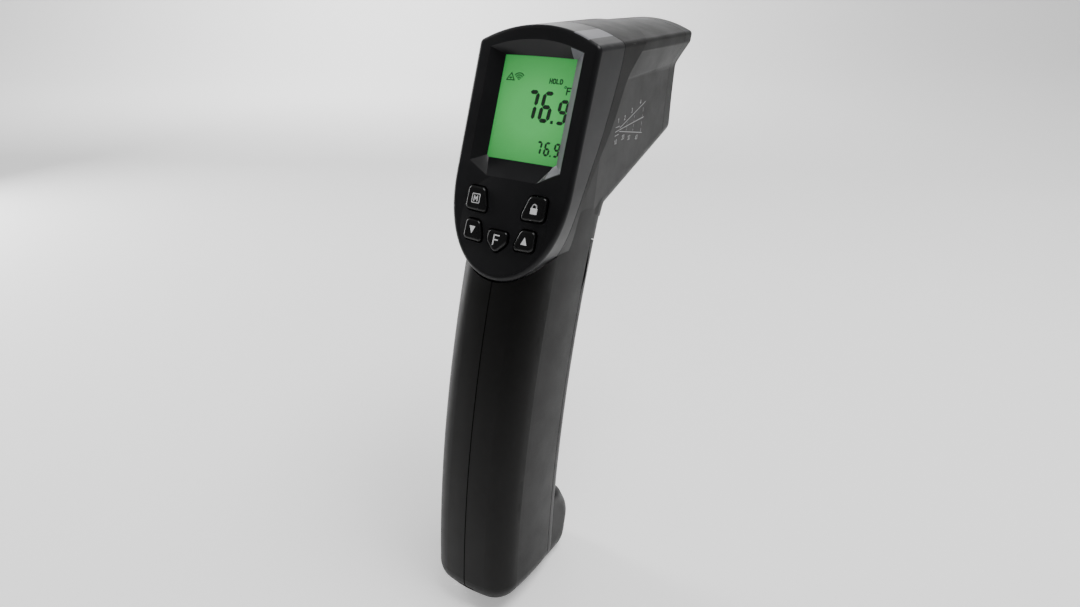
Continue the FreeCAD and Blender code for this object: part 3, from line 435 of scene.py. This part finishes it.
def lcd_artwork():
    digits = bmesh.new()
    large = dict(width=5.1, height=11.5, stroke=1.5, slant=0.07, depth=INK)
    add_digit(digits, "7", (-3.6, -22.0), **large)
    add_digit(digits, "6", (2.95, -22.0), **large)
    add_digit(digits, "9", (10.5, -22.1), width=4.4, height=9.1, stroke=1.3, slant=0.07, depth=INK)
    add_polygon(digits, [(8.8, -22.0), (9.9, -22.0), (9.9, -20.9), (8.8, -20.9)], INK)
    small = dict(width=2.55, height=5.2, stroke=0.78, slant=0.07, depth=INK)
    for origin, digit in zip((4.6, 8.2, 12.3), "769"):
        add_digit(digits, digit, (origin, -33.8), **small)
    add_polygon(digits, [(11.2, -33.8), (11.8, -33.8), (11.8, -33.2), (11.2, -33.2)], INK)
    piece("lcd_digits", display_mesh("lcd_digits", digits, LCD_INK), SEGMENT, "case")

    marks = bmesh.new()
    add_text(marks, "HOLD", (5.3, -7.5), 1.5, 0.4, INK, pitch=0.98)
    add_ring(marks, (12.3, -8.5), 0.36, 0.28, INK, 12)
    add_text(marks, "F", (13.2, -11.0), 2.3, 0.5, INK)
    add_path(marks, [(-13.7, -7.6), (-11.9, -5.0), (-10.3, -7.6), (-13.7, -7.6)], 0.36, INK)
    add_path(marks, [(-12.5, -6.8), (-11.5, -6.8)], 0.3, INK)
    add_path(marks, [(-12.0, -7.1), (-12.0, -6.3)], 0.3, INK)
    arc = [math.radians(t) for t in range(40, 141, 20)]
    for radius in (0.15, 0.9, 1.7, 2.5):
        wave = [(-8.3 + radius * math.cos(t), -7.3 + radius * math.sin(t)) for t in arc]
        add_path(marks, wave, 0.36, INK)
    piece("lcd_marks", display_mesh("lcd_marks", marks, LCD_INK), SEGMENT, "case")


KEYS = {
    "mode": (-12.6, -53.7),
    "lock": (13.3, -53.6),
    "down": (-11.6, -65.5),
    "up": (12.0, -65.6),
    "function": (0.0, -67.4),
}


def key_top(name):
    """Depth of a key's top face in the display frame, read from the CAD node."""
    u, v = KEYS[name]
    tree = BVHTree.FromObject(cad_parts[name + "_key"], bpy.context.evaluated_depsgraph_get())
    start = DISPLAY @ Vector((u * MM, -0.02, v * MM))
    hit = tree.ray_cast(start, DISPLAY.to_3x3() @ Vector((0, 1, 0)))[0]
    return (DISPLAY.inverted() @ hit).y / MM


def key_legends():
    for name, (u, v) in KEYS.items():
        bm = bmesh.new()
        if name == "mode":
            add_path(bm, [(u - 1.5, v - 1.7), (u + 1.5, v - 1.7), (u + 1.7, v - 1.5), (u + 1.7, v + 1.5),
                          (u + 1.5, v + 1.7), (u - 1.5, v + 1.7), (u - 1.7, v + 1.5), (u - 1.7, v - 1.5),
                          (u - 1.5, v - 1.7)], 0.26, INK)
            add_text(bm, "M", (u - 0.78, v - 0.95), 1.9, 0.36, INK)
        elif name == "lock":
            body = [(u - 1.4, v - 1.9), (u + 1.4, v - 1.9), (u + 1.4, v + 0.3), (u - 1.4, v + 0.3)]
            add_polygon(bm, body, INK)
            arc = [math.radians(t) for t in range(0, 181, 20)]
            add_path(bm, [(u + 0.95 * math.cos(t), v + 0.5 + 1.2 * math.sin(t)) for t in arc], 0.4, INK)
        elif name == "function":
            add_text(bm, "F", (u - 1.0, v - 1.8), 3.6, 0.46, INK)
        else:
            flip = 1 if name == "up" else -1
            arrow = [(u - 1.3, v - 1.4 * flip), (u + 1.3, v - 1.4 * flip), (u, v + 1.5 * flip)]
            add_polygon(bm, arrow[::flip], INK)
        mesh = display_mesh(name + "_legend", bm, key_top(name) - INK + LEGEND_SINK)
        piece(name + "_legend", mesh, LEGEND, name + "_button")


def side_diagram():
    """The diagram of spot size against distance, printed on the head's right side."""
    outside = 0.05
    longest_edge = 3
    bm = bmesh.new()
    start, end = 29.0, 55.2
    for near, far in ((-28.1, -21.8), (-28.8, -28.2), (-29.5, -34.9)):
        add_path(bm, [(start, near), (end, far)], 0.26, INK)
    for near, far in ((-27.2, -27.3), (-29.0, -28.8), (-30.6, -30.5)):
        add_path(bm, [(24.6, near), (28.2, far)], 0.24, INK)
    for y, half in ((36.4, 2.0), (44.0, 3.7), (53.6, 5.8)):
        dashes = [-28.5 + half * k / 4 for k in (-4, -2, 0, 2)]
        for z in dashes:
            add_path(bm, [(y, z), (y, z + half / 4)], 0.16, INK)
    for text, y, z in (("1", 26.0, -25.6), ("2", 32.6, -25.6), ("3", 39.8, -23.9), ("4", 48.8, -21.9),
                       ("10", 24.9, -34.0), ("20", 32.4, -33.5), ("30", 39.2, -35.0), ("40", 48.0, -36.6)):
        add_text(bm, text, (y, z), 1.6, 0.24, INK)
    bmesh.ops.subdivide_edges(bm, edges=[e for e in bm.edges if e.calc_length() > longest_edge], cuts=6)
    shell = BVHTree.FromObject(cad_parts["right_shell"], bpy.context.evaluated_depsgraph_get())
    for vertex in bm.verts:
        origin = DATUM + Vector((outside, vertex.co.x * MM, vertex.co.z * MM))
        hit = shell.ray_cast(origin, Vector((-1, 0, 0)))[0]
        vertex.co = hit + Vector(((INK - vertex.co.y) * MM, 0, 0))
    bmesh.ops.recalc_face_normals(bm, faces=bm.faces)
    mesh = bpy.data.meshes.new("side_diagram")
    bm.to_mesh(mesh)
    bm.free()
    piece("side_diagram", mesh, DIAGRAM, "case")


def trigger_spring():
    """The return spring, a steel copy of the CAD node attached to the case; the real spring shortens
    towards the grip as the trigger is pulled.
    """
    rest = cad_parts["trigger_spring"]
    spring = bpy.data.objects.new("return_spring", rest.data.copy())
    bpy.context.scene.collection.objects.link(spring)
    spring.matrix_world = rest.matrix_world
    spring.data.materials.clear()
    spring.data.materials.append(STEEL)
    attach(spring, "case")
    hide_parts("trigger_spring")
    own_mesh(spring)


# ---- set ---------------------------------------------------------------------
def make_stage():
    """A pale sweep: floor that curves up into a backdrop behind the object."""
    low = CAD_BOX[0].z
    bm = bmesh.new()
    front, reach, bend, rise, half_width = -2.5, 1.4, 0.6, 2.4, 3.0
    profile = [(front, 0.0), (reach, 0.0)]
    profile += [(reach + bend * math.sin(math.radians(t)), bend - bend * math.cos(math.radians(t)))
                for t in range(10, 91, 10)]
    profile.append((reach + bend, rise))
    rows = []
    for y, z in profile:
        rows.append([bm.verts.new((x, y, low + z)) for x in (-half_width, half_width)])
    for a, b in zip(rows, rows[1:]):
        bm.faces.new([a[0], a[1], b[1], b[0]])
    mesh = bpy.data.meshes.new("sweep")
    bm.to_mesh(mesh)
    bm.free()
    for polygon in mesh.polygons:
        polygon.use_smooth = True
    sweep = bpy.data.objects.new("sweep", mesh)
    bpy.context.scene.collection.objects.link(sweep)
    sweep.rotation_euler.z = math.radians(VIEW_AZIMUTH)
    paper, tree, shader = new_material("paper", (0.92, 0.92, 0.92), 0.8)
    tree.links.new(ramp(tree, noise(tree, 3, 2.0), (0.90,) * 3, (0.93,) * 3, 0.3, 0.7),
                   shader.inputs["Base Color"])
    shader.inputs["Emission Color"].default_value = (1, 1, 1, 1)
    shader.inputs["Emission Strength"].default_value = 0.35
    mesh.materials.append(paper)


def area_light(name, place, target, size, power):
    data = bpy.data.lights.new(name, "AREA")
    data.shape = "RECTANGLE"
    data.size, data.size_y = size
    data.energy = power
    lamp = bpy.data.objects.new(name, data)
    bpy.context.scene.collection.objects.link(lamp)
    lamp.location = place
    lamp.rotation_euler = (Vector(target) - Vector(place)).to_track_quat("-Z", "Y").to_euler()
    return lamp


def make_lights():
    world = bpy.data.worlds.new("studio")
    bpy.context.scene.world = world
    world.use_nodes = True
    sky = world.node_tree.nodes["Background"]
    sky.inputs["Color"].default_value = (1, 1, 1, 1)
    sky.inputs["Strength"].default_value = 0.19
    target = (0, 0.03, 0.13)
    area_light("strip_left", (-0.85, 0.00, 0.35), target, (0.15, 0.9), 7)
    area_light("box_right", (0.95, 0.35, 0.35), target, (0.5, 1.0), 0.8)
    area_light("top", (0.35, 0.2, 1.2), (0.1, 0.1, 0.0), (0.7, 0.7), 15)
    area_light("wash", (-0.9, 0.6, 0.9), (-1.6, 1.9, 0.5), (0.5, 0.5), 24)


def make_camera():
    data = bpy.data.cameras.new("camera")
    data.sensor_width = 36.0
    data.lens = 23.23
    data.clip_start = 0.01
    camera = bpy.data.objects.new("camera", data)
    bpy.context.scene.collection.objects.link(camera)
    camera.location = (0.14243, -0.19198, 0.24942)
    camera.rotation_euler = (math.radians(64.1), 0, math.radians(VIEW_AZIMUTH))
    bpy.context.scene.camera = camera


make_camera()
lcd_artwork()
key_legends()
side_diagram()
trigger_spring()
make_stage()
make_lights()
